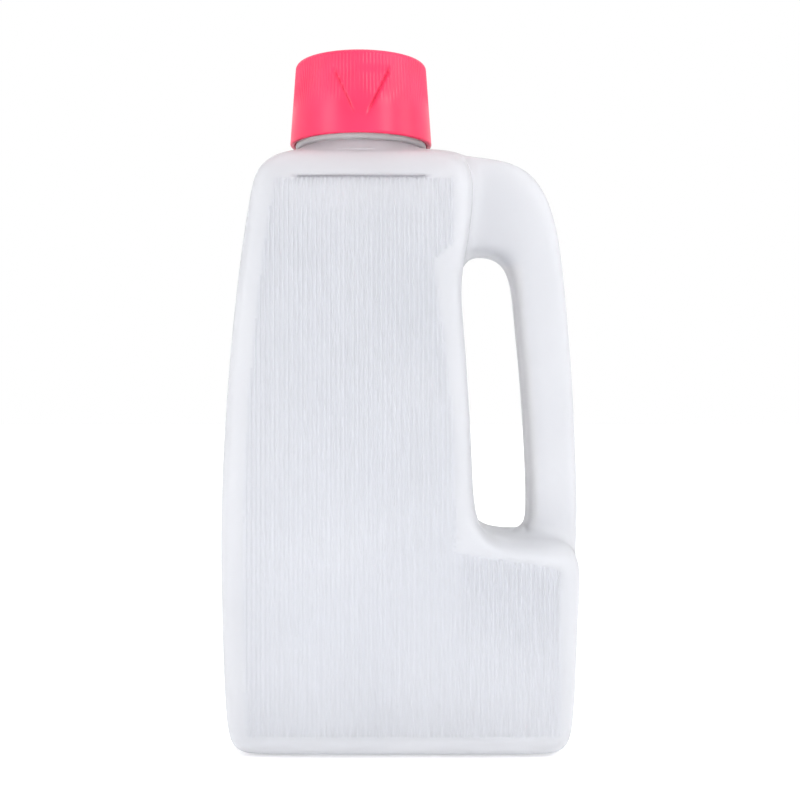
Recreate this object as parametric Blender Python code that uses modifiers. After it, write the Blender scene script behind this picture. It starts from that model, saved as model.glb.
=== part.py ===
"""Handled bottle with a screw cap: a blow-moulded body with a hollow side handle, a cap and its liner.

Metres, +Z up. The origin is on the ground under the middle of the bottle. +X points to the handle,
-Y to the front.
"""

import math

import bmesh
import bpy
from mathutils import Matrix, Vector

MM = 0.001
GAP = 0.3 * MM

# Body, in plan and in height
HEIGHT = 300 * MM
HALF_DEPTH = 40 * MM
WIDEST_HALF = 76.2 * MM
WIDEST_Z = 92 * MM
TOP_NARROWING = 12.3 * MM
FOOT_NARROWING = 3 * MM
SHOULDER_Z = 240 * MM
CORNER = 13 * MM
CORNER_PULL = 1.2 * MM
PUSH_UP = 2.2 * MM
END_CROWN = 3.6 * MM
WALL = 1.2 * MM

# The wall that faces the handle, from the shelf under the finger hole up to the shoulder
SHELF_Z = 91 * MM
HOLE_TOP_Z = 214 * MM
INNER_WALL_LOW = 31.5 * MM
INNER_WALL_HIGH = 26 * MM
INNER_WALL_TOP = 32 * MM

# Handle
HANDLE_HALF_DEPTH = 14.5 * MM

# Neck, with its axis off the middle of the body
NECK_X = -17.5 * MM
NECK_R = 24.6 * MM
NECK_ROOT_R = 28.4 * MM
NECK_TOP = 295.5 * MM
BEAD_R = 28.3 * MM
BEAD_LOW = 262.2 * MM
BEAD_HIGH = 265.6 * MM
BEAD_CHAMFER = 0.6 * MM

# Thread, the same helix on the neck and in the cap
LEAD = 6 * MM
NECK_TURNS = 1.5
CAP_TURNS = 1.25
THREAD_START_Z = 281 * MM
THREAD_FLANK_GAP = 0.4 * MM
RIDGE_ROOT_HALF = 1.3 * MM
RIDGE_TIP_HALF = 0.6 * MM
NECK_THREAD_R = 26.4 * MM
CAP_THREAD_R = 25.2 * MM
RIDGE_SINK = 0.5 * MM
STEPS_A_TURN = 36
THREAD_START_TURN = math.radians(3)

# Cap
CAP_TOP_R = 29.2 * MM
CAP_RIM_R = 31.65 * MM
CAP_LOW = 263.8 * MM
CAP_EDGE = 2.4 * MM
CAP_BORE_R = 27 * MM
CAP_MOUTH_R = 29.6 * MM
CAP_ROOF = 2.5 * MM
CAP_RIM_CHAMFER = 0.4 * MM
CAP_RIM_BAND = 1.2 * MM
MOUTH_DEPTH = 3 * MM
BORE_START = 9 * MM
LIP_LOW = 3.4 * MM
LIP_FLAT_LOW = 2.9 * MM
LIP_FLAT_HIGH = 2.4 * MM
LIP_HIGH = 1.9 * MM
CAP_STEPS = 48
LIP_R = 25.8 * MM
NOTCH_TOP_Z = 291 * MM
NOTCH_TIP_Z = 266 * MM
NOTCH_HALF = 11.6 * MM
NOTCH_DEPTH = 0.9 * MM
NOTCH_FADE = 0.15 * MM
NOTCH_OVERRUN = 1.1
CUTTER_CLEARANCE = 3 * MM

# Liner
LINER_R = 26.6 * MM
LINER_T = 1.3 * MM

# A body ring has 18 points: 5 up the handle side, 3 for each corner, and 1 in the middle of each other side
RING = 18
NECK_STEP = 2 * math.pi / RING


def clear_scene():
    for obj in list(bpy.data.objects):
        bpy.data.objects.remove(obj, do_unlink=True)


def new_collection(name):
    collection = bpy.data.collections.new(name)
    bpy.context.scene.collection.children.link(collection)
    return collection


def plastic(name, colour, roughness, transmission=0.0):
    material = bpy.data.materials.new(name)
    material.use_nodes = True
    shader = material.node_tree.nodes["Principled BSDF"]
    shader.inputs["Base Color"].default_value = (*colour, 1)
    shader.inputs["Roughness"].default_value = roughness
    shader.inputs["Metallic"].default_value = 0
    shader.inputs["Transmission Weight"].default_value = transmission
    return material


def add_mesh(name, bm, collection, material=None, sharp_angle=math.radians(35)):
    """Turns the bmesh into an object with its faces pointing out and its round faces smooth."""
    bmesh.ops.recalc_face_normals(bm, faces=bm.faces)
    mesh = bpy.data.meshes.new(name)
    bm.to_mesh(mesh)
    bm.free()
    obj = bpy.data.objects.new(name, mesh)
    collection.objects.link(obj)
    if material:
        mesh.materials.append(material)
    mesh.shade_smooth()
    mesh.set_sharp_from_angle(angle=sharp_angle)
    return obj


def as_cutter(obj):
    obj.hide_render = True
    obj.display_type = "WIRE"
    return obj


def boolean(obj, other, operation):
    modifier = obj.modifiers.new(operation.title() + "_" + other.name, "BOOLEAN")
    modifier.operation = operation
    modifier.solver = "EXACT"
    modifier.object = other


def half_width(z):
    """The body's half width: widest a third of the way up, and bowed in to the shoulder and the foot."""
    if z > WIDEST_Z:
        return WIDEST_HALF - TOP_NARROWING * ((z - WIDEST_Z) / (SHOULDER_Z - WIDEST_Z)) ** 1.8
    return WIDEST_HALF - FOOT_NARROWING * ((WIDEST_Z - z) / WIDEST_Z) ** 2


def inner_wall(z):
    """Where the wall beside the finger hole stands: it leans away from the hand towards the top."""
    low, high = SHELF_Z + 14 * MM, HOLE_TOP_Z - 17 * MM
    t = max(0, (z - low) / (high - low))
    return INNER_WALL_LOW - (INNER_WALL_LOW - INNER_WALL_HIGH) * t**1.5


def body_ring(left, right, depth, z, corner=CORNER, pull=CORNER_PULL, middle=None):
    """A level rounded rectangle from x = -left to x = right, counterclockwise from the handle side."""
    middle = (right - left) / 2 if middle is None else middle
    side = depth - corner
    grip = min(HANDLE_HALF_DEPTH, side * 0.55)
    back = [
        (right, side),
        (right - pull, depth - pull),
        (right - corner, depth),
        (middle, depth),
        (corner - left, depth),
        (pull - left, depth - pull),
        (-left, side),
    ]
    handle_side = [(right, -grip), (right, 0), (right, grip)]
    front = [(x, -y) for x, y in reversed(back)]
    plan = [front[-1], *handle_side, *back, (-left - END_CROWN, 0), *front[:-1]]
    return [Vector((x, y, z)) for x, y in plan]


def shelf_ring(z, right, shelf_z, edge_z, panel_x, panel_z):
    """A ring that crosses the shelf under the hand: level on the left, then up over the shelf's edges."""
    left = half_width(z)
    ring = body_ring(left, right, HALF_DEPTH, z, middle=(panel_x - left) / 2)
    for i in (0, 1, 2, 3, 4):
        ring[i].z = shelf_z
    for i in (5, RING - 1):
        ring[i].z = edge_z
        ring[i].x = right - CORNER_PULL
    for i in (6, RING - 2):
        ring[i].z = panel_z
        ring[i].x = panel_x
    return ring


def base_ring(inset, z):
    """A ring of the underside, the foot's outline moved in by inset."""
    width = half_width(0) - inset
    corner = max(CORNER - inset * 0.3, 5 * MM)
    return body_ring(width, width, HALF_DEPTH - inset, z, corner=corner)


def shoulder_ring(left, right, depth, z_left, z_front, z_right, middle):
    """A ring on the shoulder, which falls from the middle towards the front, the back and the left end."""
    ring = body_ring(left, right, depth, z_front, middle=middle)
    for i in (0, 4):
        ring[i].z = (z_front + z_right) / 2
    for i in (1, 2, 3):
        ring[i].z = z_right
    for i in (10, 12):
        ring[i].z = (z_front + z_left) / 2
    ring[11].z = z_left
    return ring


def neck_ring(radius, z_side, z_front=None):
    """A circle of the neck, its control points a little outside it, where the smooth surface needs them."""
    z_front = z_side if z_front is None else z_front
    reach = radius * 3 / (2 + math.cos(NECK_STEP))
    ring = []
    for i in range(RING):
        angle = (i - 2) * NECK_STEP
        z = z_front + (z_side - z_front) * math.cos(angle) ** 2
        ring.append(Vector((NECK_X + reach * math.cos(angle), reach * math.sin(angle), z)))
    return ring


def foot_rings():
    """A push-up in the middle of the underside, a flat ring to stand on, and the rounded foot."""
    return [
        base_ring(31 * MM, PUSH_UP),
        base_ring(27 * MM, PUSH_UP),
        base_ring(24 * MM, 0),
        base_ring(21 * MM, 0),
        base_ring(15 * MM, 0),
        base_ring(12 * MM, 0),
        base_ring(1.5 * MM, 1.5 * MM),
    ]


def wide_rings():
    levels = [14 * MM, 38 * MM, 62 * MM]
    return [body_ring(half_width(z), half_width(z), HALF_DEPTH, z) for z in levels]


def shelf_rings():
    """From the block under the hole, over the shelf, to the wall beside it, round the handle's foot."""
    return [
        shelf_ring(74 * MM, 78 * MM, 86 * MM, 81 * MM, 64 * MM, 72 * MM),
        shelf_ring(80 * MM, 67.5 * MM, 91.5 * MM, 87 * MM, 54 * MM, 78 * MM),
        shelf_ring(86 * MM, 56 * MM, SHELF_Z, 87 * MM, 42 * MM, 82 * MM),
        shelf_ring(93 * MM, 37 * MM, SHELF_Z, 89 * MM, 27 * MM, 88 * MM),
    ]


def waist_rings():
    levels = [102 * MM, 128 * MM, 154 * MM, 180 * MM, 200 * MM]
    return [body_ring(half_width(z), inner_wall(z), HALF_DEPTH, z) for z in levels]


def shoulder_rings():
    """The first three hold the handle's upper root on their handle side."""
    middle = NECK_X
    root_low = body_ring(half_width(HOLE_TOP_Z), 28.5 * MM, HALF_DEPTH, HOLE_TOP_Z)
    top_width = half_width(SHOULDER_Z)
    root_middle = body_ring(top_width, INNER_WALL_TOP, HALF_DEPTH, 238 * MM, middle=middle)
    return [
        root_low,
        root_middle,
        shoulder_ring(61.5 * MM, 30 * MM, 37.5 * MM, 250 * MM, 250 * MM, 258.5 * MM, middle),
        shoulder_ring(52.5 * MM, 20 * MM, 32.5 * MM, 259.5 * MM, 256 * MM, 261 * MM, middle),
    ]


def neck_rings():
    return [
        neck_ring(NECK_ROOT_R, 261.5 * MM, 256.5 * MM),
        neck_ring(25.6 * MM, 263.5 * MM),
        neck_ring(NECK_R, 267 * MM),
        neck_ring(NECK_R, 281 * MM),
        neck_ring(NECK_R, NECK_TOP),
    ]


def handle_section(inner, outer):
    """Eight points round the handle. Its inner and outer edges are (x, z) in the middle plane, in mm."""
    a = Vector((inner[0], 0, inner[1])) * MM
    b = Vector((outer[0], 0, outer[1])) * MM
    depth = Vector((0, HANDLE_HALF_DEPTH, 0))
    middle = (a + b) / 2
    return [a - depth, a, a + depth, middle + depth, b + depth, b, b - depth, middle - depth]


def handle_sections():
    """From the upper root round the grip to the shelf."""
    return [
        handle_section((38, 215), (45, 257.5)),
        handle_section((46, 212), (60, 251.5)),
        handle_section((50, 203), (69.5, 232)),
        handle_section((51.5, 185), (73.2, 200)),
        handle_section((54.5, 155), (76.5, 160)),
        handle_section((56.5, 120), (78.2, 122)),
        handle_section((56.8, 101), (78.8, 100)),
    ]


def join_rings(bm, lower, upper, gaps=()):
    """Faces between two closed loops of vertices, leaving out those whose index is in gaps."""
    count = len(lower)
    for i in range(count):
        if i in gaps:
            continue
        j = (i + 1) % count
        bm.faces.new((lower[i], lower[j], upper[j], upper[i]))


def window(low, middle, high):
    """The eight vertices round the place where the handle meets the body, as in a handle section."""
    return [low[1], low[2], low[3], middle[3], high[3], high[2], high[1], middle[1]]


def bottle_cage():
    """The coarse cage of the outer surface: rings from the underside up to the mouth, and the handle."""
    groups = [foot_rings(), wide_rings(), shelf_rings(), waist_rings(), shoulder_rings(), neck_rings()]
    starts = [sum(len(group) for group in groups[:i]) for i in range(len(groups))]
    shelf, shoulder = starts[2], starts[4]
    bm = bmesh.new()
    rings = [[bm.verts.new(point) for point in ring] for group in groups for ring in group]
    handle_faces = (1, 2)
    open_strips = (shelf, shelf + 1, shoulder, shoulder + 1)
    bm.faces.new(reversed(rings[0]))
    for i in range(len(rings) - 1):
        join_rings(bm, rings[i], rings[i + 1], handle_faces if i in open_strips else ())
    loops = [window(rings[shoulder], rings[shoulder + 1], rings[shoulder + 2])]
    loops += [[bm.verts.new(point) for point in section] for section in handle_sections()]
    loops.append(window(rings[shelf + 2], rings[shelf + 1], rings[shelf]))
    for first, second in zip(loops, loops[1:]):
        join_rings(bm, first, second)
    for ring in (rings[shelf + 1], rings[shoulder + 1]):
        bm.verts.remove(ring[2])
    return bm


def thread_ridge(name, root_r, tip_r, start_z, turns, collection):
    """A trapezoid swept along the helix by a spin that also climbs."""
    bm = bmesh.new()
    profile = [
        (root_r, -RIDGE_ROOT_HALF),
        (tip_r, -RIDGE_TIP_HALF),
        (tip_r, RIDGE_TIP_HALF),
        (root_r, RIDGE_ROOT_HALF),
    ]
    face = bm.faces.new([bm.verts.new((NECK_X + r, 0, start_z + z)) for r, z in profile])
    start = Matrix.Rotation(THREAD_START_TURN, 3, "Z")
    bmesh.ops.rotate(bm, verts=face.verts, cent=(NECK_X, 0, 0), matrix=start)
    steps = round(STEPS_A_TURN * turns)
    bmesh.ops.spin(
        bm,
        geom=[face, *face.edges, *face.verts],
        cent=(NECK_X, 0, 0),
        axis=(0, 0, 1),
        dvec=(0, 0, LEAD / STEPS_A_TURN),
        angle=2 * math.pi * turns,
        steps=steps,
        use_duplicate=False,
    )
    return as_cutter(add_mesh(name, bm, collection))


def turned(name, profile, collection, steps, material=None):
    """A closed profile of (radius, z), or one that ends on the axis, turned about the neck's axis."""
    bm = bmesh.new()
    verts = [bm.verts.new((r, 0, z)) for r, z in profile]
    for a, b in zip(verts, verts[1:]):
        bm.edges.new((a, b))
    if profile[0][0] > 0:
        bm.edges.new((verts[-1], verts[0]))
    obj = add_mesh(name, bm, collection, material)
    obj.location.x = NECK_X
    screw = obj.modifiers.new("Screw", "SCREW")
    screw.steps = steps
    screw.render_steps = steps
    screw.use_merge_vertices = True
    screw.merge_threshold = 0.0001
    screw.use_smooth_shade = True
    return obj


def build_bottle(parts, cutters):
    frosted = plastic("frosted_plastic", (0.85, 0.88, 0.93), 0.35, 0.4)
    bottle = add_mesh("bottle", bottle_cage(), parts, frosted, sharp_angle=math.pi)
    subsurf = bottle.modifiers.new("Subdivision", "SUBSURF")
    subsurf.levels = 1
    subsurf.render_levels = 1
    solidify = bottle.modifiers.new("Wall", "SOLIDIFY")
    solidify.thickness = WALL
    solidify.offset = -1
    bead_root = NECK_R - RIDGE_SINK
    bead_profile = [
        (bead_root, BEAD_HIGH),
        (BEAD_R - BEAD_CHAMFER, BEAD_HIGH),
        (BEAD_R, BEAD_HIGH - BEAD_CHAMFER),
        (BEAD_R, BEAD_LOW + BEAD_CHAMFER),
        (BEAD_R - BEAD_CHAMFER, BEAD_LOW),
        (bead_root, BEAD_LOW),
    ]
    bead = as_cutter(turned("neck_bead", bead_profile, cutters, CAP_STEPS))
    thread = thread_ridge(
        "neck_thread", NECK_R - RIDGE_SINK, NECK_THREAD_R, THREAD_START_Z, NECK_TURNS, cutters
    )
    boolean(bottle, bead, "UNION")
    boolean(bottle, thread, "UNION")
    return bottle


def cap_profile():
    """Down the outside from the middle of the top, then up the inside to the middle of the roof."""
    fillet = []
    for i in range(4):
        angle = math.radians(90 - 90 * i / 3)
        x = CAP_TOP_R - CAP_EDGE + CAP_EDGE * math.cos(angle)
        fillet.append((x, HEIGHT - CAP_EDGE + CAP_EDGE * math.sin(angle)))
    roof = HEIGHT - CAP_ROOF
    return [
        (0, HEIGHT),
        *fillet,
        (CAP_RIM_R, CAP_LOW + CAP_RIM_BAND),
        (CAP_RIM_R - CAP_RIM_CHAMFER, CAP_LOW),
        (CAP_MOUTH_R, CAP_LOW),
        (CAP_MOUTH_R, CAP_LOW + MOUTH_DEPTH),
        (CAP_BORE_R, CAP_LOW + BORE_START),
        (CAP_BORE_R, roof - LIP_LOW),
        (LIP_R, roof - LIP_FLAT_LOW),
        (LIP_R, roof - LIP_FLAT_HIGH),
        (CAP_BORE_R, roof - LIP_HIGH),
        (CAP_BORE_R, roof),
        (0, roof),
    ]


def cap_wall_r(z):
    """The outside radius of the cap's tapered wall."""
    return CAP_TOP_R + (CAP_RIM_R - CAP_TOP_R) * (HEIGHT - CAP_EDGE - z) / (HEIGHT - CAP_EDGE - CAP_LOW)


def notch_cutter(collection):
    """A turned wedge, deepest at its top and fading out downwards, kept only inside a triangular prism."""
    clear_r = CAP_RIM_R + CUTTER_CLEARANCE
    wedge_profile = [
        (clear_r, NOTCH_TOP_Z),
        (clear_r, NOTCH_TIP_Z),
        (cap_wall_r(NOTCH_TIP_Z) + NOTCH_FADE, NOTCH_TIP_Z),
        (cap_wall_r(NOTCH_TOP_Z) - NOTCH_DEPTH, NOTCH_TOP_Z),
    ]
    wedge = as_cutter(turned("cap_notch", wedge_profile, collection, CAP_STEPS))
    bm = bmesh.new()
    top_z = NOTCH_TIP_Z + (NOTCH_TOP_Z - NOTCH_TIP_Z) * NOTCH_OVERRUN
    half = NOTCH_HALF * NOTCH_OVERRUN
    corners = [(-half, top_z), (0, NOTCH_TIP_Z), (half, top_z)]
    far_y, near_y = -2 * clear_r, -0.4 * clear_r
    face = bm.faces.new([bm.verts.new((NECK_X + x, far_y, z)) for x, z in corners])
    extruded = bmesh.ops.extrude_face_region(bm, geom=[face])["geom"]
    far = [item for item in extruded if isinstance(item, bmesh.types.BMVert)]
    bmesh.ops.translate(bm, vec=(0, near_y - far_y, 0), verts=far)
    prism = as_cutter(add_mesh("cap_notch_outline", bm, collection))
    boolean(wedge, prism, "INTERSECT")
    return wedge


def build_cap(parts, cutters):
    pink = plastic("pink_plastic", (1.0, 0.07, 0.16), 0.35)
    cap = turned("cap", cap_profile(), parts, CAP_STEPS, pink)
    start_z = THREAD_START_Z - RIDGE_ROOT_HALF - RIDGE_TIP_HALF - THREAD_FLANK_GAP
    thread = thread_ridge(
        "cap_thread", CAP_BORE_R + RIDGE_SINK, CAP_THREAD_R, start_z, CAP_TURNS, cutters
    )
    boolean(cap, thread, "UNION")
    boolean(cap, notch_cutter(cutters), "DIFFERENCE")
    return cap


def build_liner(parts):
    top = HEIGHT - CAP_ROOF - GAP
    profile = [(0, top), (LINER_R, top), (LINER_R, top - LINER_T), (0, top - LINER_T)]
    foam = plastic("liner_foam", (0.9, 0.9, 0.88), 0.8)
    return turned("cap_liner", profile, parts, CAP_STEPS, foam)


def main():
    clear_scene()
    parts = new_collection("handled_bottle")
    cutters = new_collection("cutters")
    build_bottle(parts, cutters)
    build_cap(parts, cutters)
    build_liner(parts)


main()
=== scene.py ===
# %% [markdown]
# # A handled bottle with a screw cap
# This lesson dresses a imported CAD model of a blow-moulded bottle: a frosted body with a side handle and
# fine moulded ribs, a turned neck with its thread, and a pink screw cap. The CAD gives every place and size.
# Each visible surface is then worked out afresh as arrays of points, so that it is smooth and closed.

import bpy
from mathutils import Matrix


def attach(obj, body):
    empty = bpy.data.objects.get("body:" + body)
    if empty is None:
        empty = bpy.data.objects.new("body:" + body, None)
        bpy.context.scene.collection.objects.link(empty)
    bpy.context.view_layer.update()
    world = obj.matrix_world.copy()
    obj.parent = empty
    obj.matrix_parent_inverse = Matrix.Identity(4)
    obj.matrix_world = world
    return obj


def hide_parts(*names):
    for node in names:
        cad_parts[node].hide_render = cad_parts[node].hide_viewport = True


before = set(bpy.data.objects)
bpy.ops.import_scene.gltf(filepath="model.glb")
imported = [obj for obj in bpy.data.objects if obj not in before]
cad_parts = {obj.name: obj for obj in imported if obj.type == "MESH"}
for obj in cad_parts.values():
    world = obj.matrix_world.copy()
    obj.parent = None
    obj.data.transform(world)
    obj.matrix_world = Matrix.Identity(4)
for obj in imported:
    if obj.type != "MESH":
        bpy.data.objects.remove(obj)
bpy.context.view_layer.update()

# %% Other modules
import math

import bpy
import numpy as np

MM = 0.001

# %% [markdown]
# ## Camera
# The view is level and square to the front, as for a catalogue. A moderately long lens half a metre away
# keeps the sides nearly parallel, and still lets the rim of the cap curve a little.

# %% Camera
EYE = (0, -0.5475, 0.1517)
camera_data = bpy.data.cameras.new("camera")
camera_data.lens = 54.9
camera_data.sensor_width = 36
camera_data.shift_y = -0.00375
camera_data.clip_start = 0.01
camera = bpy.data.objects.new("camera", camera_data)
camera.location = EYE
camera.rotation_euler = (math.radians(90), 0, 0)
bpy.context.scene.collection.objects.link(camera)
bpy.context.scene.camera = camera
bpy.context.scene.view_settings.view_transform = "Standard"
print("camera at", EYE, "m, lens", camera_data.lens, "mm")

# %% [markdown]
# ## Studio
# A bottle this pale is shown in a white room: a white world lights it from every side, so that only the
# shape of the plastic itself makes grey. A long softbox on each side lifts the rounded edges, a small
# key from the front right draws the fine relief, and one overhead keeps the floor clean.

# %% Studio
def soft_light(name, place, aim, size, power):
    """A rectangular area light at place, turned so that its -Z axis runs along the line from place to aim."""
    data = bpy.data.lights.new(name, "AREA")
    data.shape = "RECTANGLE"
    data.size, data.size_y = size
    data.energy = power
    light = bpy.data.objects.new(name, data)
    away = np.array(place, float) - np.array(aim, float)
    flat = math.hypot(away[0], away[1])
    light.location = place
    light.rotation_euler = (math.atan2(flat, away[2]), 0, math.atan2(away[1], away[0]) + math.radians(90))
    bpy.context.scene.collection.objects.link(light)
    return light


def plain_material(name, colour, glow):
    """A matt material of one colour that also gives off a little white light, for the floor only."""
    material = bpy.data.materials.new(name)
    material.use_nodes = True
    shader = material.node_tree.nodes["Principled BSDF"]
    shader.inputs["Base Color"].default_value = (*colour, 1)
    shader.inputs["Roughness"].default_value = 0.9
    shader.inputs["Specular IOR Level"].default_value = 0.1
    shader.inputs["Emission Color"].default_value = (1, 1, 1, 1)
    shader.inputs["Emission Strength"].default_value = glow
    return material


world = bpy.data.worlds.new("white room")
world.use_nodes = True
world.node_tree.nodes["Background"].inputs["Color"].default_value = (1, 1, 1, 1)
world.node_tree.nodes["Background"].inputs["Strength"].default_value = 1.0
bpy.context.scene.world = world

floor_mesh = bpy.data.meshes.new("floor")
HALF_FLOOR = 6
floor_corners = HALF_FLOOR * np.array([(-1, -1, 0), (1, -1, 0), (1, 1, 0), (-1, 1, 0)])
floor_mesh.from_pydata(floor_corners.tolist(), [], [(0, 1, 2, 3)])
floor = bpy.data.objects.new("floor", floor_mesh)
bpy.context.scene.collection.objects.link(floor)
floor_mesh.materials.append(plain_material("floor_white", (0.9, 0.9, 0.91), 0.3))

MIDDLE = (0, 0, 0.15)
soft_light("left softbox", (-0.75, -0.58, 0.3), MIDDLE, (0.35, 0.9), 4)
soft_light("right softbox", (0.93, -0.2, 0.35), MIDDLE, (0.35, 0.9), 2.4)
soft_light("front key", (0.62, -0.65, 0.75), MIDDLE, (0.25, 0.25), 3)
soft_light("top softbox", (0.1, -0.1, 1.3), MIDDLE, (1.0, 1.0), 2)
print("world, floor and", len(bpy.data.lights), "softboxes")

# %% [markdown]
# ## From arrays to meshes
# Every piece below is a grid of points: rows along one parameter, columns along the other. A helper lists
# the grid's faces, and another eases a value from nothing to all.

# %% Mesh helpers
def grid_faces(rows, columns, wrap=True):
    """Quads between neighbouring rows and columns of a grid whose point (r, c) has index r * columns + c."""
    row = np.arange(rows - 1)[:, None]
    column = np.arange(columns if wrap else columns - 1)[None, :]
    after = (column + 1) % columns
    low, high = row * columns, (row + 1) * columns
    return np.stack([low + column, low + after, high + after, high + column], axis=-1)


def smoothstep(low, high, value):
    """0 below low, 1 above high, and 3t^2 - 2t^3 of the fraction t between them."""
    t = np.clip((value - low) / (high - low), 0, 1)
    return t * t * (3 - 2 * t)


# %% [markdown]
# ## Frosted plastic
# The body is blown from milky polypropylene about a millimetre thick. It lets light through but blurs it,
# so that the inside shows only as a soft shade. Part of the shader is diffuse, part is rough transmission.
# The wall of a blown bottle isn't even: broad cloudy patches change its tint and its roughness, and a fine
# grain from the mould breaks the gloss. Each point of the wall also carries painted light and shade in its
# tint, as an attribute of the mesh that is worked out once the body is joined.

# %% Node helpers
def add_node(material, kind, **settings):
    """A new node of that kind, with its settings applied."""
    node = material.node_tree.nodes.new(kind)
    for key, value in settings.items():
        setattr(node, key, value)
    return node


def wire(material, source, output, target, socket):
    """Links an output of one node to an input of another; both go by name or by number."""
    material.node_tree.links.new(source.outputs[output], target.inputs[socket])


def noise(material, scale, detail=3.0, roughness=0.5):
    """A noise field on object coordinates; scale is in features per metre."""
    place = add_node(material, "ShaderNodeTexCoord")
    field = add_node(material, "ShaderNodeTexNoise")
    field.inputs["Scale"].default_value = scale
    field.inputs["Detail"].default_value = detail
    field.inputs["Roughness"].default_value = roughness
    wire(material, place, "Object", field, "Vector")
    return field


def two_tints(material, field, first, second, low=0.35, high=0.65):
    """A ramp from the first colour to the second as the field goes from low to high."""
    ramp = add_node(material, "ShaderNodeValToRGB")
    ramp.color_ramp.elements[0].position = low
    ramp.color_ramp.elements[0].color = (*first, 1)
    ramp.color_ramp.elements[1].position = high
    ramp.color_ramp.elements[1].color = (*second, 1)
    wire(material, field, "Fac", ramp, "Fac")
    return ramp


def spread(material, field, low, high):
    """The field's middle half, stretched between low and high."""
    node = add_node(material, "ShaderNodeMapRange")
    for socket, value in (("From Min", 0.3), ("From Max", 0.7), ("To Min", low), ("To Max", high)):
        node.inputs[socket].default_value = value
    wire(material, field, "Fac", node, "Value")
    return node


def grain(material, shader, scale, strength, distance):
    """Fine bumps on the shader's normal."""
    bump = add_node(material, "ShaderNodeBump")
    bump.inputs["Strength"].default_value = strength
    bump.inputs["Distance"].default_value = distance
    wire(material, noise(material, scale, 4), "Fac", bump, "Height")
    wire(material, bump, "Normal", shader, "Normal")


# %% Frosted plastic
MIX_FIRST, MIX_SECOND, MIX_RESULT = 6, 7, 2  # the Mix node's colour sockets share their names with others


def frosted_plastic(name, through):
    """Milky plastic; through is the share of light that goes on into the wall, the rest scatters at once."""
    material = bpy.data.materials.new(name)
    material.use_nodes = True
    shader = material.node_tree.nodes["Principled BSDF"]
    clouds = two_tints(material, noise(material, 22, 2), (0.972, 0.974, 0.978), (1.0, 1.0, 1.0))
    # This attribute carries painted light and shade, multiplied into the base colour.
    wall = add_node(material, "ShaderNodeAttribute", attribute_name="painted_wall_shading")
    tint = add_node(material, "ShaderNodeMix", data_type="RGBA", blend_type="MULTIPLY")
    tint.inputs["Factor"].default_value = 1
    wire(material, wall, "Color", tint, MIX_FIRST)
    wire(material, clouds, "Color", tint, MIX_SECOND)
    wire(material, tint, MIX_RESULT, shader, "Base Color")
    wire(material, spread(material, noise(material, 45), 0.40, 0.52), "Result", shader, "Roughness")
    shader.inputs["IOR"].default_value = 1.49
    shader.inputs["Transmission Weight"].default_value = through
    grain(material, shader, 1400, 0.06, 0.0002)
    return material


FROSTED = frosted_plastic("milky_plastic", 0.68)
print("made", FROSTED.name)

# %% [markdown]
# ## The body's outline
# The sides of the body are a long bow: widest a third of the way up, drawn in towards the shoulder and a
# little towards the foot. The wall beside the finger hole leans the other way. Both are plain functions of
# the height, so every later step can ask them where the wall stands.

# %% Outline functions
WIDEST_HALF, WIDEST_Z = 76.2, 92
SHOULDER_Z = 240
HALF_DEPTH = 40
CORNER, CORNER_PULL = 13, 1.2
NECK_X = -17.5
NECK_TOP = 295.5
WALL = 1.2


def half_width(z):
    """Half the body's width in mm: the widest less 12.3 u^1.8 above it, and less 3 v^2 below it."""
    above = np.clip((z - WIDEST_Z) / (SHOULDER_Z - WIDEST_Z), 0, None)
    below = np.clip((WIDEST_Z - z) / WIDEST_Z, 0, None)
    return WIDEST_HALF - 12.3 * above**1.8 - 3 * below**2


def inner_wall(z):
    """Where the wall beside the finger hole stands: 31.5 less 5.5 u^1.5, with u from the shelf upwards."""
    return 31.5 - 5.5 * np.clip((z - 105) / 92, 0, None) ** 1.5


print("half width at the foot, belly and shoulder:", [round(float(half_width(z)), 1) for z in (0, 92, 240)])

# %% [markdown]
# ## The cage
# A smooth closed form with a hole in it is easiest as a coarse cage that a subdivision surface rounds off.
# The cage is a stack of level rings, eighteen points each: five up the handle side, three for each corner
# and one in the middle of each other side. Two windows are left open on the handle side, one in the
# shoulder and one in the shelf under the hand, and eight-sided sections of the handle join them.

# %% Rings of the body
RING = 18


def body_ring(left, right, depth, z, corner=CORNER, pull=CORNER_PULL, middle=None):
    """A level rounded rectangle from -left to right, counterclockwise from the handle side's front corner."""
    middle = (right - left) / 2 if middle is None else middle
    side = depth - corner
    grip = min(14.5, side * 0.55)
    x = [right, right - pull, right - corner, middle, corner - left, pull - left, -left]
    y = [side, depth - pull, depth, depth, depth, depth - pull, side]
    plan_x = [right, right, right, right, *x, -left - 3.6, *x[:0:-1]]
    plan_y = [-side, -grip, 0, grip, *y, 0, *[-v for v in y[:0:-1]]]
    return np.stack([np.array(plan_x, float), np.array(plan_y, float), np.full(RING, float(z))], axis=1)


def shelf_ring(z, right, shelf_z, edge_z, panel_x, panel_z):
    """A ring that crosses the shelf under the hand: level on the left, then up over the shelf's edges."""
    left = half_width(z)
    ring = body_ring(left, right, HALF_DEPTH, z, middle=(panel_x - left) / 2)
    ring[[0, 1, 2, 3, 4], 2] = shelf_z
    ring[[5, 17], 2] = edge_z
    ring[[5, 17], 0] = right - CORNER_PULL
    ring[[6, 16], 2] = panel_z
    ring[[6, 16], 0] = panel_x
    return ring


def base_ring(inset, z):
    """A ring of the underside: the foot's outline moved in by inset."""
    width = half_width(0) - inset
    return body_ring(width, width, HALF_DEPTH - inset, z, corner=max(CORNER - inset * 0.3, 5))


def shoulder_ring(left, right, depth, z_left, z_front, z_right):
    """A ring on the shoulder, which falls from the middle towards the front, the back and the left end."""
    ring = body_ring(left, right, depth, z_front, middle=NECK_X)
    ring[[0, 4], 2] = (z_front + z_right) / 2
    ring[[1, 2, 3], 2] = z_right
    ring[[10, 12], 2] = (z_front + z_left) / 2
    ring[11, 2] = z_left
    return ring


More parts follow.
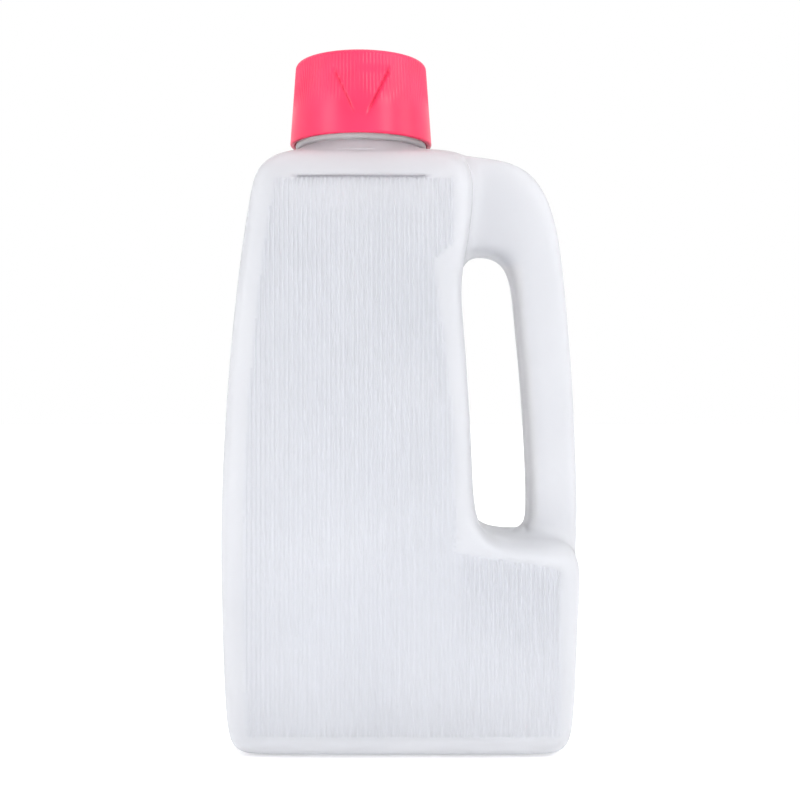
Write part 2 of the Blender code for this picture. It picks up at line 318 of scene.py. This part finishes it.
def neck_ring(radius, z_side, z_front=None):
    """A circle whose control points lie a little outside it, by 3 / (2 + cos of one step)."""
    z_front = z_side if z_front is None else z_front
    angle = (np.arange(RING) - 2) * 2 * np.pi / RING
    reach = radius * 3 / (2 + math.cos(2 * math.pi / RING))
    z = z_front + (z_side - z_front) * np.cos(angle) ** 2
    return np.stack([NECK_X + reach * np.cos(angle), reach * np.sin(angle), z], axis=1)


foot = [base_ring(31, 2.2), base_ring(27, 2.2), *[base_ring(inset, 0) for inset in (24, 21, 15, 12)]]
foot.append(base_ring(1.5, 1.5))
wide = [body_ring(half_width(z), half_width(z), HALF_DEPTH, z) for z in (14, 38, 62)]
shelf = [
    shelf_ring(74, 78, 86, 81, 64, 72),
    shelf_ring(80, 67.5, 91.5, 87, 54, 78),
    shelf_ring(86, 56, 91, 87, 42, 82),
    shelf_ring(93, 37, 91, 89, 27, 88),
]
waist = [body_ring(half_width(z), inner_wall(z), HALF_DEPTH, z) for z in (102, 128, 154, 180, 200)]
shoulder = [
    body_ring(half_width(214), 28.5, HALF_DEPTH, 214),
    body_ring(half_width(SHOULDER_Z), 32, HALF_DEPTH, 238, middle=NECK_X),
    shoulder_ring(61.5, 30, 37.5, 250, 250, 258.5),
    shoulder_ring(52.5, 20, 32.5, 259.5, 256, 261),
]
neck = [neck_ring(28.4, 261.5, 256.5), neck_ring(25.6, 263.5)]
neck += [neck_ring(24.6, z) for z in (267, 281, NECK_TOP)]
rings = np.array(foot + wide + shelf + waist + shoulder + neck)
SHELF_ROW = len(foot) + len(wide)
SHOULDER_ROW = SHELF_ROW + len(shelf) + len(waist)
print(len(rings), "rings of", RING, "points")

# %% Sections of the handle
def handle_sections(inner, outer):
    """Eight points round each section, between its inner and outer edge, 14.5 mm to each side."""
    inner, outer = np.array(inner, float), np.array(outer, float)
    middle = (inner + outer) / 2
    edge = [inner, inner, inner, middle, outer, outer, outer, middle]
    depth = 14.5 * np.array([-1, 0, 1, 1, 1, 0, -1, -1])
    points = np.stack(edge, axis=1)
    return np.stack([points[:, :, 0], np.broadcast_to(depth, points.shape[:2]), points[:, :, 1]], axis=2)


grip = handle_sections(
    inner=[(38, 215), (46, 212), (50, 203), (51.5, 185), (54.5, 155), (56.5, 120), (56.8, 101)],
    outer=[(45, 257.5), (60, 251.5), (69.5, 232), (73.2, 200), (76.5, 160), (78.2, 122), (78.8, 100)],
)
print(len(grip), "sections along the handle")


# %% Faces of the cage
def window(row):
    """The eight points round a two-row window on the handle side whose lowest row is given."""
    low, middle, high = row * RING, (row + 1) * RING, (row + 2) * RING
    return [low + 1, low + 2, low + 3, middle + 3, high + 3, high + 2, high + 1, middle + 1]


strips = grid_faces(len(rings), RING)
closed = np.ones(strips.shape[:2], bool)
for row in (SHELF_ROW, SHELF_ROW + 1, SHOULDER_ROW, SHOULDER_ROW + 1):
    closed[row, 1:3] = False
loops = len(rings) * RING + np.arange(len(grip) * 8).reshape(-1, 8)
shelf_window = window(SHELF_ROW)
shelf_window = [shelf_window[i] for i in (6, 5, 4, 3, 2, 1, 0, 7)]
loops = np.vstack([window(SHOULDER_ROW), loops, shelf_window])
after = np.roll(loops, -1, axis=1)
tube = np.stack([loops[:-1], after[:-1], after[1:], loops[1:]], axis=-1)
points = np.vstack([rings.reshape(-1, 3), grip.reshape(-1, 3)])
quads = np.vstack([strips[closed], tube.reshape(-1, 4)])
used, renumbered = np.unique(quads, return_inverse=True)
quads = renumbered.reshape(-1, 4)
underside = np.searchsorted(used, np.arange(RING))[::-1]
print(len(used), "points and", len(quads) + 1, "faces in the cage")

# %% [markdown]
# ## The panel
# The front and the back carry a shallow panel, a little lower than the rounded frame about it, and the ribs
# fill it. Its outline follows the silhouette on the left and the finger hole on the right, and goes out
# into the block under the shelf.

# %% The panel
PITCH = 1.95
PANEL_TOP, PANEL_FOOT = 243.4, 9.5
RECESS = 0.65


def panel_left(z):
    """The panel's left edge keeps 10.4 mm from the silhouette."""
    return 10.4 - half_width(z)


def panel_right(z):
    """The right edge follows the finger hole, and goes out into the block under the shelf."""
    beside_hole = inner_wall(z) - 8 - 2.5 * smoothstep(150, 205, z)
    above_hole = 22.9
    block = 67
    edge = beside_hole + (above_hole - beside_hole) * smoothstep(207, 218, z)
    return edge + (block - edge) * (1 - smoothstep(79, 88, z))


def panel_depth(x, z):
    """How far the point (x, z) lies inside the panel's edges, in mm; negative outside."""
    sides = np.minimum(x - panel_left(z), panel_right(z) - x)
    ends = np.minimum(PANEL_TOP - z, z - PANEL_FOOT)
    return np.minimum(sides, ends)


print("panel from", PANEL_FOOT, "to", PANEL_TOP, "mm")

# %% [markdown]
# ## The skin
# Rounds of subdivision bring the cage to its smooth limit. The points of that skin that lie in the panel are
# then pushed in a little. The skin is made twice: a fine one for the outside, and a coarser one, moved
# inwards by the wall's thickness, for the hollow. The hollow runs on through the mouth, so that taking it
# away from the outside leaves an open neck with a flat rim.

# %% Rounded skins
def mesh_object(name, points, faces, material=None):
    """Points in metres and faces as a smooth mesh in an object at the origin."""
    mesh = bpy.data.meshes.new(name)
    mesh.from_pydata(np.asarray(points).reshape(-1, 3).tolist(), [], faces)
    mesh.polygons.foreach_set("use_smooth", np.ones(len(mesh.polygons), bool))
    if material:
        mesh.materials.append(material)
    made = bpy.data.objects.new(name, mesh)
    bpy.context.scene.collection.objects.link(made)
    return made


def evaluated(made):
    """The object's mesh with its modifiers worked out; the object itself is then removed."""
    mesh = bpy.data.meshes.new_from_object(made.evaluated_get(bpy.context.evaluated_depsgraph_get()))
    bpy.data.objects.remove(made)
    return mesh


def rounded_skin(levels):
    """Points (mm), normals and quads of the cage after that many rounds of subdivision."""
    cage = mesh_object("cage", points[used] * MM, [*quads.tolist(), underside.tolist()])
    rounding = cage.modifiers.new("Rounding", "SUBSURF")
    rounding.levels = levels
    rounding.render_levels = levels
    mesh = evaluated(cage)
    place = np.empty(len(mesh.vertices) * 3, np.float32)
    mesh.vertices.foreach_get("co", place)
    normal = np.empty(len(mesh.vertices) * 3, np.float32)
    mesh.vertex_normals.foreach_get("vector", normal)
    corner = np.empty(len(mesh.loops), np.int32)
    mesh.loops.foreach_get("vertex_index", corner)
    place = place.reshape(-1, 3).astype(float) / MM
    return place, normal.reshape(-1, 3), corner.reshape(-1, 4)


def with_panel(place):
    """Moves the points of the front and the back inwards by RECESS where they lie in the panel."""
    x, y, z = place.T
    facing = smoothstep(32, 36, np.abs(y))
    sunk = RECESS * facing * smoothstep(-0.9, 0.5, panel_depth(x, z))
    return np.stack([x, y - np.sign(y) * sunk, z], axis=1)


def lid(place):
    """The points at the mouth, in order round the neck's axis."""
    rim = np.nonzero(place[:, 2] > NECK_TOP - 0.01)[0]
    turn = np.arctan2(place[rim, 1], place[rim, 0] - NECK_X)
    return rim[np.argsort(turn)].tolist()


OVER_THE_MOUTH = 2
outside, _, outside_quads = rounded_skin(3)
hollow, hollow_normal, hollow_quads = rounded_skin(2)
outside_lid, hollow_lid = lid(outside), lid(hollow)
hollow = with_panel(hollow) - WALL * hollow_normal
hollow[hollow_lid, 2] += OVER_THE_MOUTH
outside_faces = [*outside_quads.tolist(), outside_lid]
outer_solid = mesh_object("bottle_shell", with_panel(outside) * MM, outside_faces, FROSTED)
hollow_solid = mesh_object("hollow", hollow * MM, [*hollow_quads.tolist(), hollow_lid])
print("outside", len(outside), "points, hollow", len(hollow), "points")

# %% [markdown]
# ## Moulded ribs
# Fine upright ribs, about two millimetres apart, fill the panel. The front of the cage is a regular grid,
# so its smooth limit is a cubic B-spline sheet that can be worked out exactly. Each rib is a low rounded
# strip laid on that sheet along one value of x, from the panel's lower edge to its upper edge, sunk a little
# into the wall. Handling wears the ribs, so they get lower towards the foot. Over them runs a groove with a
# low bar above it, and the ribs' ends reach into the groove like teeth.

# %% The front sheet
def spline_rows(control, steps):
    """Points along axis 0 of a uniform cubic B-spline: each is a weighted mean of four neighbours."""
    t = np.arange(steps) / steps
    middle = [3 * t**3 - 6 * t**2 + 4, -3 * t**3 + 3 * t**2 + 3 * t + 1]
    weights = np.stack([(1 - t) ** 3, *middle, t**3], axis=1) / 6
    spans = np.stack([control[i : len(control) - 3 + i] for i in range(4)], axis=1)
    return np.einsum("sk,nk...->ns...", weights, spans).reshape(-1, *control.shape[1:])


FRONT = [12, 13, 14, 15, 16, 17, 0]
sheet = spline_rows(rings[4:, FRONT], 10)
sheet = spline_rows(sheet.swapaxes(0, 1), 24).swapaxes(0, 1)
print("front sheet:", sheet.shape[0], "x", sheet.shape[1], "points")

# %% Where the ribs run
INTO_THE_GROOVE = 0.6
heights = np.arange(PANEL_FOOT, PANEL_TOP + INTO_THE_GROOVE + 0.01, 0.1)
left_edge, right_edge = panel_left(heights), panel_right(heights)
rib_x = np.arange(-34, 35) * PITCH
inside = (rib_x[:, None] > left_edge) & (rib_x[:, None] < right_edge)
turns = np.diff(np.pad(inside, ((0, 0), (1, 1))).astype(int), axis=1)
rib_of, first = np.nonzero(turns == 1)
last = np.nonzero(turns == -1)[1] - 1
SHORTEST = 60  # steps of 0.1 mm
long_enough = last - first > SHORTEST
rib_of, first, last = rib_of[long_enough], first[long_enough], last[long_enough]
print(len(rib_of), "ribs on each side")

# %% The ribs
RIB_HALF, RIB_HEIGHT, RIB_SINK = 0.6, 0.5, 0.15
RIB_ROWS = 22


def sheet_depth(x, z):
    """The front sheet's y along lines of constant x: row i of z holds the heights asked for at x[i]."""
    lines_y = np.array([np.interp(x, row[:, 0], row[:, 1]) for row in sheet])
    lines_z = np.array([np.interp(x, row[:, 0], row[:, 2]) for row in sheet])
    return np.array([np.interp(wanted, lines_z[:, i], lines_y[:, i]) for i, wanted in enumerate(z)])


ACROSS = np.array([-1, -0.6, -0.25, 0.25, 0.6, 1, 1, -1]) * RIB_HALF
HILL = np.array([0, 0.6, 1, 1, 0.6, 0, 0, 0])
SUNK = RIB_SINK * np.array([1, 0, 0, 0, 0, 1, 2, 2])


def ribs(side):
    """Strips along z, each a low hill across, which fades at both ends and gets lower downwards."""
    low, high = heights[first][:, None], heights[last][:, None]
    middle = low + 1.2 + (high - low - 2.4) * np.linspace(0, 1, RIB_ROWS - 4)
    z = np.hstack([low, low + 0.5, middle, high - 0.5, high])
    x = rib_x[rib_of][:, None] + 0 * z
    y = sheet_depth(rib_x[rib_of], z)
    run = np.minimum(z - z[:, :1], z[:, -1:] - z)
    wear = 0.45 + 0.55 * np.where(x > 26, smoothstep(20, 75, z), smoothstep(60, 190, z))
    rise = RIB_HEIGHT * smoothstep(-0.3, 1.0, run) * wear
    out = y[:, :, None] + RECESS - HILL * rise[:, :, None] + SUNK
    return np.stack([x[:, :, None] + ACROSS, out * side, z[:, :, None] + 0 * ACROSS], axis=-1)


count = len(rib_of)
ribs_front, ribs_back = ribs(1), ribs(-1)
one = grid_faces(RIB_ROWS, 8).reshape(-1, 4)
rib_start = np.arange(count)[:, None] * RIB_ROWS * 8
every = (rib_start[:, :, None] + one).reshape(-1, 4)
start_caps = rib_start + np.arange(8)[::-1]
end_caps = rib_start + (RIB_ROWS - 1) * 8 + np.arange(8)
front_faces = [*every.tolist(), *start_caps.tolist(), *end_caps.tolist()]
back_start = count * RIB_ROWS * 8
back_faces = [[back_start + i for i in reversed(face)] for face in front_faces]
rib_points = np.concatenate([ribs_front.reshape(-1, 3), ribs_back.reshape(-1, 3)]) * MM
print(len(front_faces), "faces on each side")

# %% The bar over the ribs
BAR_ROWS = 40
BAR_Z, GROOVE_Z = PANEL_TOP + 1.7, PANEL_TOP + 0.5
BAR_LEFT, BAR_RIGHT, BAR_HEIGHT = -43, 10.6, 0.3
bar_x = np.linspace(BAR_LEFT, BAR_RIGHT, BAR_ROWS)
bar_y = sheet_depth(bar_x, np.full((BAR_ROWS, 1), BAR_Z))
bar_end = smoothstep(-0.2, 1.5, np.minimum(bar_x - bar_x[0], bar_x[-1] - bar_x))[:, None]
bar_out = bar_y - BAR_HEIGHT * HILL * bar_end + SUNK
bar_front = np.stack([bar_x[:, None] + 0 * ACROSS, bar_out, BAR_Z - ACROSS + 0 * bar_out], axis=-1)
bar_back = bar_front * np.array([1, -1, 1])
bar_side = grid_faces(BAR_ROWS, 8).reshape(-1, 4).tolist()
bar_side += [list(range(8))[::-1], [(BAR_ROWS - 1) * 8 + i for i in range(8)]]
bar_faces = bar_side + [[BAR_ROWS * 8 + i for i in reversed(face)] for face in bar_side]
bar_points = np.concatenate([bar_front.reshape(-1, 3), bar_back.reshape(-1, 3)]) * MM
print("bars of", BAR_ROWS, "rows")

# %% The groove under the bar
GROOVE_DEPTH, GROOVE_SHARE = 0.8, 0.72
groove_y = sheet_depth(bar_x, np.full((BAR_ROWS, 1), GROOVE_Z))
groove_out = groove_y + GROOVE_DEPTH - np.array([0, 0, 0, 0, 0, 0, 3, 3])
groove_z = GROOVE_Z - GROOVE_SHARE * ACROSS + 0 * groove_out
groove_front = np.stack([bar_x[:, None] + 0 * ACROSS, groove_out, groove_z], axis=-1)
groove_back = groove_front * np.array([1, -1, 1])
groove_points = np.concatenate([groove_front.reshape(-1, 3), groove_back.reshape(-1, 3)])
groove_faces = [face[::-1] for face in bar_faces]
groove_solid = mesh_object("groove", groove_points * MM, groove_faces)
print("groove", np.round(groove_points.min(axis=0), 1), np.round(groove_points.max(axis=0), 1))

# %% Ribs and bars as one relief
relief_faces = front_faces + back_faces + [[len(rib_points) + i for i in face] for face in bar_faces]
relief_solid = mesh_object("relief", np.concatenate([rib_points, bar_points]), relief_faces)
print("relief of", len(relief_faces), "faces")

# %% [markdown]
# ## Neck finish
# The cap screws onto a helical ridge on the neck, and a bead below it stops the cap's rim. The ridge is a
# small rounded profile carried up a helix, thinning to nothing at both ends. The bead, and a low collar on
# the shoulder under it, are profiles turned about the neck.

# %% The thread ridge
LEAD = 6
THREAD_Z = 281
THREAD_START, THREAD_FADE = math.radians(3), 0.06


def helix(root, tip, start_z, turns, steps_a_turn=96):
    """A ridge from radius root to tip; at angle a from its start its middle stands lead a / 2 pi higher."""
    count = round(steps_a_turn * turns) + 1
    along = np.linspace(0, turns, count)
    angle = THREAD_START + 2 * np.pi * along
    grow = smoothstep(0, THREAD_FADE, along) * smoothstep(0, THREAD_FADE, turns - along)
    half_way = (root + tip) / 2
    section_r = np.array([root - 0.5, root, half_way, tip, tip, half_way, root, root - 0.5])
    section_z = np.array([-1.3, -1.3, -0.95, -0.55, 0.55, 0.95, 1.3, 1.3])
    lift = np.clip(section_r - root, 0, None)
    base = section_r - lift
    r = base + lift * grow[:, None]
    z = start_z + LEAD * along[:, None] + section_z * (0.35 + 0.65 * grow[:, None])
    points = np.stack([NECK_X + r * np.cos(angle[:, None]), r * np.sin(angle[:, None]), z], axis=-1)
    faces = grid_faces(count, 8).reshape(-1, 4)[:, ::-1].tolist()
    faces += [list(range(8)), [(count - 1) * 8 + i for i in range(8)][::-1]]
    return points, faces


thread_points, thread_faces = helix(24.6, 26.4, THREAD_Z, 1.5)
thread_solid = mesh_object("neck_thread", thread_points * MM, thread_faces)
print("thread of", len(thread_faces), "faces")


# %% The bead and the collar
def turned(profile, columns):
    """A profile of (radius, z) turned about the neck's axis: at angle a a point is (r cos a, r sin a, z)."""
    r, z = np.array(profile, float).T
    angle = np.arange(columns) * 2 * np.pi / columns
    x = NECK_X + r[:, None] * np.cos(angle)
    y = r[:, None] * np.sin(angle)
    return np.stack([x, y, np.broadcast_to(z[:, None], x.shape)], axis=-1)


def ring_ridge(name, radius, z, out, half_height, root):
    """A turned ridge: half an ellipse about (radius, z), closed at radius root."""
    lean = np.radians(np.linspace(-90, 90, 9))
    bulge = np.stack([radius + out * np.cos(lean), z + half_height * np.sin(lean)], axis=1)
    profile = np.vstack([bulge, [(root, z + half_height), (root, z - half_height)]])
    faces = grid_faces(len(profile) + 1, 120) % (len(profile) * 120)
    return mesh_object(name, turned(profile, 120) * MM, faces.reshape(-1, 4).tolist())


bead_solid = ring_ridge("neck_bead", 27.9, 263.6, 1.3, 1.6, 24.1)
collar_solid = ring_ridge("neck_collar", 28.6, 256.9, 1.5, 0.9, 24.1)
print("bead and collar")

# %% [markdown]
# ## One moulded body
# A blown bottle is a single skin, so the relief, the thread, the bead and the collar are joined to the
# outside, and the hollow and the groove are taken out of it. The Manifold solver keeps the result closed and
# takes a fraction of a second. Each point is then given painted light and shade by where it lies: the panel
# is painted darker and bluer than the frame as painted shade, the handle's edge of the finger hole and the
# bead are painted lighter as painted light over their shade, the neck is painted pinker and darker as a
# painted reflection of the cap with painted shade, and the groove is painted dark as painted shade.

# %% Painted light and shade of the wall
# The panel is painted darker and bluer than the frame: painted shade, so the frame reads as a band lit from
# the sides.
FRAME_TINT, PANEL_PAINTED_SHADE = (0.888, 0.895, 0.922), (0.845, 0.857, 0.893)
# A lighter tint is painted at the finger hole's edge and on the bead to lift their shade: painted light.
PAINTED_LIGHT_TINT, NECK_PAINTED_REFLECTION = (0.985, 0.98, 0.985), (0.872, 0.83, 0.862)
# The groove is painted dark: painted shade in the recess.
GROOVE_PAINTED_SHADE = (0.6, 0.6, 0.64)


def hole_painted_light(x, z):
    """Share of painted light: 1 within 1.5 mm of the handle's edge of the finger hole, 0 from 5.5 mm on and
    over the body's wall.
    """
    edge = np.interp(z, [101, 120, 155, 185, 203], [56.8, 56.5, 54.5, 51.5, 50])
    aside = np.clip(x - edge, 0, None)
    beyond = np.clip(np.maximum(z - 206, 97 - z), 0, None)
    over_handle = smoothstep(0.55, 0.85, (x - inner_wall(z)) / (edge - inner_wall(z)))
    return (1 - smoothstep(1.5, 5.5, np.hypot(aside, beyond))) * over_handle


def painted_wall_shading(x, y, z):
    """The frame's tint, moved by a share between 0 and 1 towards each painted colour in turn: painted shade
    on the panel, painted light at the finger hole and the bead, a painted pink reflection with painted shade
    near the neck, painted shade in the groove.
    """
    # Where the panel's painted shade lies.
    panel = smoothstep(30, 38, np.abs(y)) * smoothstep(-0.6, 0.6, panel_depth(x, z))
    hole = hole_painted_light(x, z)
    # The bead under the cap's rim is painted lighter: painted light over its shade.
    bead = (np.hypot(x - NECK_X, y) > 25.5) & (z > 261.9) & (z < 265.6)
    # Near the neck the wall is painted pinker and darker: a painted reflection of the pink cap with painted
    # shade.
    neck_reflection_share = smoothstep(244, 258, z) * (1 - smoothstep(34, 62, np.abs(x - NECK_X)))
    under_bar = (x > BAR_LEFT - 0.5) & (x < BAR_RIGHT + 0.5)
    # Where the groove's painted shade lies, under the bar.
    groove = (np.abs(z - GROOVE_Z) < 0.6) & (np.abs(y) > 34) & under_bar
    tint = np.tile(np.array(FRAME_TINT), (len(x), 1))
    for share, other in (
        (panel, PANEL_PAINTED_SHADE),
        (hole, PAINTED_LIGHT_TINT),
        (neck_reflection_share, NECK_PAINTED_REFLECTION),
        (bead, PAINTED_LIGHT_TINT),
        (groove, GROOVE_PAINTED_SHADE),
    ):
        tint += share[:, None] * (np.array(other) - tint)
    return np.hstack([tint, np.ones((len(x), 1))]).astype(np.float32)


# %% Join the body
for other, operation in (
    (hollow_solid, "DIFFERENCE"),
    (groove_solid, "DIFFERENCE"),
    (relief_solid, "UNION"),
    (thread_solid, "UNION"),
    (bead_solid, "UNION"),
    (collar_solid, "UNION"),
):
    joint = outer_solid.modifiers.new(other.name, "BOOLEAN")
    joint.operation = operation
    joint.solver = "MANIFOLD"
    joint.object = other
body_mesh = evaluated(outer_solid)
for helper in (hollow_solid, groove_solid, relief_solid, thread_solid, bead_solid, collar_solid):
    bpy.data.objects.remove(helper)
body_mesh.set_sharp_from_angle(angle=math.radians(62))
joined = np.empty(len(body_mesh.vertices) * 3, np.float32)
body_mesh.vertices.foreach_get("co", joined)
# Painted light and shade for every point of the joined body.
painted_shades = painted_wall_shading(*(joined.reshape(-1, 3) / MM).T)
body_mesh.attributes.new("painted_wall_shading", "FLOAT_COLOR", "POINT").data.foreach_set("color", painted_shades.ravel())
shell = bpy.data.objects.new("bottle_shell", body_mesh)
bpy.context.scene.collection.objects.link(shell)
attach(shell, "bottle")
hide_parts("bottle")
body_mesh.calc_loop_triangles()
print("bottle_shell has", len(body_mesh.loop_triangles), "triangles")

# %% [markdown]
# ## Pink plastic
# The cap is injection-moulded in a strong coral pink. Its skin is smoother than the body's, so it carries
# soft wide highlights. The colour is deep rather than painted on, so a little light goes on into the skin.

# %% Pink plastic
def pink_plastic(name):
    """Coral plastic: mostly diffuse, with a fifth of the light let on into it."""
    material = bpy.data.materials.new(name)
    material.use_nodes = True
    shader = material.node_tree.nodes["Principled BSDF"]
    tint = two_tints(material, noise(material, 60, 2), (0.86, 0.034, 0.112), (0.90, 0.044, 0.132))
    wire(material, tint, "Color", shader, "Base Color")
    wire(material, spread(material, noise(material, 120), 0.29, 0.37), "Result", shader, "Roughness")
    shader.inputs["IOR"].default_value = 1.49
    shader.inputs["Transmission Weight"].default_value = 0.2
    shader.inputs["Specular IOR Level"].default_value = 0.22
    grain(material, shader, 2200, 0.05, 0.0001)
    return material


PINK = pink_plastic("coral_plastic")
print("made", PINK.name)

# %% [markdown]
# ## The cap
# The cap is one turned skin: down the outside from the middle of the top, round the rim, and up the bore to
# the middle of the roof. The radius then changes with the angle: short upright ribs round the top for the
# fingers, and a shallow pocket on the front that runs down to a point. Inside, the same idea makes the
# thread: the bore is pulled in wherever the helix passes.

# %% Profile of the cap
CAP_TOP, CAP_LOW, CAP_ROOF = 300, 263.8, 297.5
CAP_TOP_R, CAP_RIM_R = 29.2, 31.65
CAP_EDGE = 2.4
CAP_COLUMNS = 600
CAP_RIBS = 120


def wall_radius(z):
    """The outside radius of the tapered wall at height z."""
    return CAP_TOP_R + (CAP_RIM_R - CAP_TOP_R) * (CAP_TOP - CAP_EDGE - z) / (CAP_TOP - CAP_EDGE - CAP_LOW)


edge_turn = np.radians(np.linspace(90, 0, 8))
edge_r = CAP_TOP_R - CAP_EDGE + CAP_EDGE * np.cos(edge_turn)
edge_z = CAP_TOP - CAP_EDGE + CAP_EDGE * np.sin(edge_turn)
wall_z = np.linspace(CAP_TOP - CAP_EDGE, CAP_LOW + 1.2, 56)[1:]
top_r = np.array([1.5, 8, 16, 23, 25.6])
rim_r = np.array([31.62, 31.4, 31.1, 30.2, 29.75, 29.6])
rim_z = np.array([264.5, 264.0, 263.8, 263.8, 263.9, 264.3])
bore_z = np.concatenate([[266.8, 270.0, 272.8], np.linspace(273.4, 291.6, 34)])
bore_r = np.interp(bore_z, [264.3, 266.8, 272.8], [29.6, 29.6, 27.0])
lip_r = np.array([27.0, 25.8, 25.8, 27.0, 27.0])
lip_z = np.array([294.1, 294.6, 295.1, 295.6, 297.3])
roof_r = np.array([26.4, 16, 6, 1.5])
outline_r = np.concatenate([top_r, edge_r, wall_radius(wall_z), rim_r, bore_r, lip_r, roof_r])
outline_z = np.concatenate([0 * top_r + CAP_TOP, edge_z, wall_z, rim_z, bore_z, lip_z, 0 * roof_r + CAP_ROOF])
on_outside = np.arange(len(outline_r)) < len(top_r) + len(edge_r) + len(wall_z)
in_bore = np.zeros(len(outline_r), bool)
in_bore[on_outside.sum() + len(rim_r) :][: len(bore_z)] = True
print(len(outline_r), "points down and up the cap's profile")


# %% Pocket of the cap
POCKET_X, POCKET_FLOOR = 1.1, 0.6
POCKET_HALF, POCKET_POINT_Z, POCKET_RISE = 11.7, 266, 24.5


def pocket(x, z):
    """A shallow flat between two edges that close to a point, with a groove d exp(-(e / w)^2) along each."""
    aside = x - POCKET_X
    half = POCKET_HALF * np.clip((z - POCKET_POINT_Z) / POCKET_RISE, 0, 1)
    edge = half - np.abs(aside)
    floor_depth = POCKET_FLOOR * smoothstep(-0.25, 0.25, edge)
    deep, wide = np.where(aside > 0, 1.15, 0.8), np.where(aside > 0, 0.6, 0.42)
    groove = deep * np.exp(-((edge / wide) ** 2))
    return (floor_depth + groove) * smoothstep(270, 277, z) * (1 - smoothstep(289.5, 294, z))


# %% Ribs of the cap
CAP_RIB_DEPTH = 0.24
cap_angle = np.arange(CAP_COLUMNS) * 2 * np.pi / CAP_COLUMNS - np.pi / 2
cap_r = np.repeat(outline_r[:, None], CAP_COLUMNS, axis=1)
cap_z = np.repeat(outline_z[:, None], CAP_COLUMNS, axis=1)
carve = np.where(np.sin(cap_angle) < 0, pocket(cap_r * np.cos(cap_angle), cap_z), 0)
band = smoothstep(276, 286, cap_z) * (1 - smoothstep(297.4, 299.4, cap_z))
wave = 0.5 + 0.5 * np.cos(CAP_RIBS * (cap_angle + np.pi / 2))
ribbing = CAP_RIB_DEPTH * (wave - 1) * band
cap_r = cap_r + np.where(on_outside[:, None], ribbing - carve, 0)
print(CAP_RIBS, "ribs and a pocket", round(float(carve.max()), 2), "mm deep")

# %% Thread of the cap
UNDER_NECK_THREAD = 2.3
CAP_THREAD_TURNS, CAP_THREAD_DEPTH = 1.25, 1.8
climb = (cap_angle - THREAD_START) % (2 * np.pi) / (2 * np.pi)
for turn in (0, 1):
    along = climb + turn
    thread_z = THREAD_Z - UNDER_NECK_THREAD + LEAD * along
    grow = smoothstep(0, THREAD_FADE, along) * smoothstep(0, THREAD_FADE, CAP_THREAD_TURNS - along)
    ridge = CAP_THREAD_DEPTH * (1 - smoothstep(0.5, 1.4, np.abs(cap_z - thread_z))) * grow
    cap_r = np.where(in_bore[:, None], np.minimum(cap_r, outline_r[:, None] - ridge), cap_r)
print("narrowest bore radius", round(float(cap_r[in_bore].min()), 2), "mm")

# %% The cap's skin
cap_skin = np.stack([NECK_X + cap_r * np.cos(cap_angle), cap_r * np.sin(cap_angle), cap_z], axis=-1)
poles = np.array([[NECK_X, 0, CAP_TOP], [NECK_X, 0, CAP_ROOF]])
cap_points = np.vstack([cap_skin.reshape(-1, 3), poles])
cap_rows = len(outline_r)
cap_quads = grid_faces(cap_rows, CAP_COLUMNS).reshape(-1, 4)[:, ::-1]
around = np.arange(CAP_COLUMNS)
around_next = np.roll(around, -1)
top_pole = np.full(CAP_COLUMNS, cap_rows * CAP_COLUMNS)
last_row = (cap_rows - 1) * CAP_COLUMNS
top_fan = np.stack([around, around_next, top_pole], axis=1)
roof_fan = np.stack([last_row + around_next, last_row + around, top_pole + 1], axis=1)
cap_faces = [*cap_quads.tolist(), *top_fan.tolist(), *roof_fan.tolist()]
cap = mesh_object("cap_skin", cap_points * MM, cap_faces, PINK)
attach(cap, "cap")
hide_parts("cap")
print("cap of", len(cap_faces), "faces")

# %% [markdown]
# ## The liner
# Inside the cap a disc of white foam seals the mouth. The CAD disc already has its true shape, so it stays
# and only gets a finish: closed-cell foam, matt and finely pitted.

# %% The liner's foam
def foam(name):
    """Matt white foam with fine pits."""
    material = bpy.data.materials.new(name)
    material.use_nodes = True
    shader = material.node_tree.nodes["Principled BSDF"]
    tint = two_tints(material, noise(material, 700, 3), (0.80, 0.79, 0.77), (0.90, 0.895, 0.88))
    wire(material, tint, "Color", shader, "Base Color")
    shader.inputs["Roughness"].default_value = 0.85
    grain(material, shader, 1500, 0.3, 0.0002)
    return material


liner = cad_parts["cap_liner"]
liner.data.materials.clear()
liner.data.materials.append(foam("pitted_foam"))
print("liner keeps its CAD shape")
